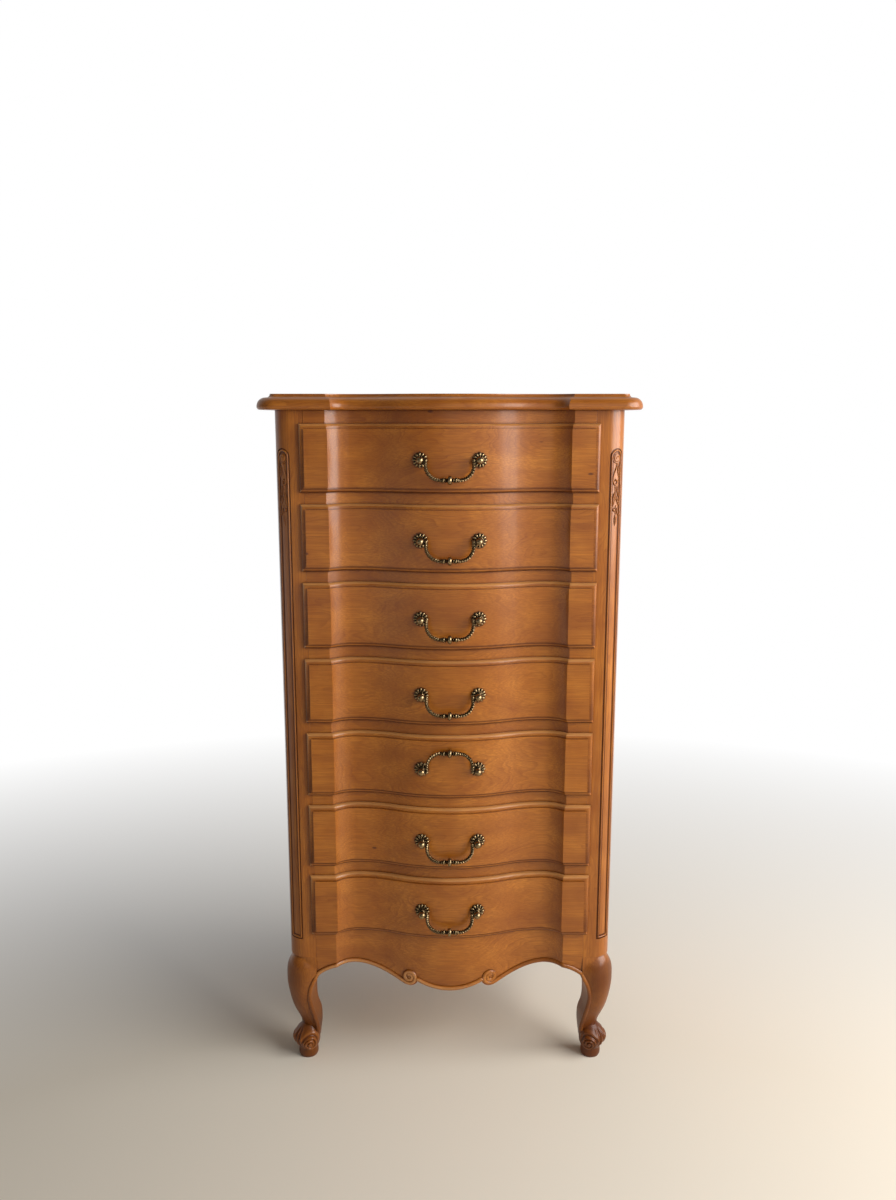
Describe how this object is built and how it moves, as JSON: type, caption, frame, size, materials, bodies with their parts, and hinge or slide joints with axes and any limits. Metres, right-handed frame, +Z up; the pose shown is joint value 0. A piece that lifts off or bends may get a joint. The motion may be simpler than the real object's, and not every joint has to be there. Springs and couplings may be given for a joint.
{
  "type": "chest of drawers",
  "caption": "Tall narrow chest with a serpentine front, rounded corner posts, cabriole front legs, a scalloped apron and lipped sliding drawers with drop handles.",
  "frame": {"origin": "centre of the overall box's base, on the floor", "axes": "+Z up, drawers open towards -Y, +X to the right of someone facing the drawers"},
  "size_m": [0.664, 0.4451, 1.269],
  "materials": {
    "cherry": "satin lacquer",
    "inner_wood": "raw, planed",
    "plywood": "raw, sanded",
    "antique_brass": "aged, rubbed on the high spots",
    "steel": "zinc plated"
  },
  "bodies": {
    "case": {"top_board": "cherry", "front_post_left": "cherry", "front_post_right": "cherry", "rear_post_left": "cherry", "rear_post_right": "cherry", "front_top_rail": "cherry", "drawer_rails": "cherry", "apron": "cherry", "side_rails_left": "cherry", "side_rails_right": "cherry", "side_panel_left": "cherry", "side_panel_right": "cherry", "back_rails": "inner_wood", "back_panel": "plywood", "drawer_runners": "inner_wood", "top_kickers": "inner_wood", "bottom_board": "plywood", "top_screws": "steel"},
    "drawer_1": {"drawer_1_front": "cherry", "drawer_1_sides": "inner_wood", "drawer_1_back": "inner_wood", "drawer_1_bottom": "plywood", "drawer_1_rosettes": "antique_brass"},
    "bail_1": {"drawer_1_bail": "antique_brass"},
    "drawer_2": {"drawer_2_front": "cherry", "drawer_2_sides": "inner_wood", "drawer_2_back": "inner_wood", "drawer_2_bottom": "plywood", "drawer_2_rosettes": "antique_brass"},
    "bail_2": {"drawer_2_bail": "antique_brass"},
    "drawer_3": {"drawer_3_front": "cherry", "drawer_3_sides": "inner_wood", "drawer_3_back": "inner_wood", "drawer_3_bottom": "plywood", "drawer_3_rosettes": "antique_brass"},
    "bail_3": {"drawer_3_bail": "antique_brass"},
    "drawer_4": {"drawer_4_front": "cherry", "drawer_4_sides": "inner_wood", "drawer_4_back": "inner_wood", "drawer_4_bottom": "plywood", "drawer_4_rosettes": "antique_brass"},
    "bail_4": {"drawer_4_bail": "antique_brass"},
    "drawer_5": {"drawer_5_front": "cherry", "drawer_5_sides": "inner_wood", "drawer_5_back": "inner_wood", "drawer_5_bottom": "plywood", "drawer_5_rosettes": "antique_brass"},
    "bail_5": {"drawer_5_bail": "antique_brass"},
    "drawer_6": {"drawer_6_front": "cherry", "drawer_6_sides": "inner_wood", "drawer_6_back": "inner_wood", "drawer_6_bottom": "plywood", "drawer_6_rosettes": "antique_brass"},
    "bail_6": {"drawer_6_bail": "antique_brass"},
    "drawer_7": {"drawer_7_front": "cherry", "drawer_7_sides": "inner_wood", "drawer_7_back": "inner_wood", "drawer_7_bottom": "plywood", "drawer_7_rosettes": "antique_brass"},
    "bail_7": {"drawer_7_bail": "antique_brass"}
  },
  "joints": [
    {"name": "drawer_1_slide", "type": "slide", "parent": "case", "child": "drawer_1", "axis": [0, -1, 0], "range_m": [0, 0.27]},
    {"name": "bail_1_swing", "type": "hinge", "parent": "drawer_1", "child": "bail_1", "pos_m": [0, -0.21505, 1.15775], "axis": [-1, 0, 0], "range_deg": [-11.6, 191.6]},
    {"name": "drawer_2_slide", "type": "slide", "parent": "case", "child": "drawer_2", "axis": [0, -1, 0], "range_m": [0, 0.27]},
    {"name": "bail_2_swing", "type": "hinge", "parent": "drawer_2", "child": "bail_2", "pos_m": [0, -0.21505, 1.01925], "axis": [-1, 0, 0], "range_deg": [-11.6, 191.6]},
    {"name": "drawer_3_slide", "type": "slide", "parent": "case", "child": "drawer_3", "axis": [0, -1, 0], "range_m": [0, 0.27]},
    {"name": "bail_3_swing", "type": "hinge", "parent": "drawer_3", "child": "bail_3", "pos_m": [0, -0.21505, 0.88075], "axis": [-1, 0, 0], "range_deg": [-11.6, 191.6]},
    {"name": "drawer_4_slide", "type": "slide", "parent": "case", "child": "drawer_4", "axis": [0, -1, 0], "range_m": [0, 0.27]},
    {"name": "bail_4_swing", "type": "hinge", "parent": "drawer_4", "child": "bail_4", "pos_m": [0, -0.21505, 0.74225], "axis": [-1, 0, 0], "range_deg": [-11.6, 191.6]},
    {"name": "drawer_5_slide", "type": "slide", "parent": "case", "child": "drawer_5", "axis": [0, -1, 0], "range_m": [0, 0.27]},
    {"name": "bail_5_swing", "type": "hinge", "parent": "drawer_5", "child": "bail_5", "pos_m": [0, -0.21505, 0.60375], "axis": [-1, 0, 0], "range_deg": [-203.2, 0]},
    {"name": "drawer_6_slide", "type": "slide", "parent": "case", "child": "drawer_6", "axis": [0, -1, 0], "range_m": [0, 0.27]},
    {"name": "bail_6_swing", "type": "hinge", "parent": "drawer_6", "child": "bail_6", "pos_m": [0, -0.21505, 0.46525], "axis": [-1, 0, 0], "range_deg": [-11.6, 191.6]},
    {"name": "drawer_7_slide", "type": "slide", "parent": "case", "child": "drawer_7", "axis": [0, -1, 0], "range_m": [0, 0.27]},
    {"name": "bail_7_swing", "type": "hinge", "parent": "drawer_7", "child": "bail_7", "pos_m": [0, -0.21505, 0.32675], "axis": [-1, 0, 0], "range_deg": [-11.6, 191.6]}
  ]
}
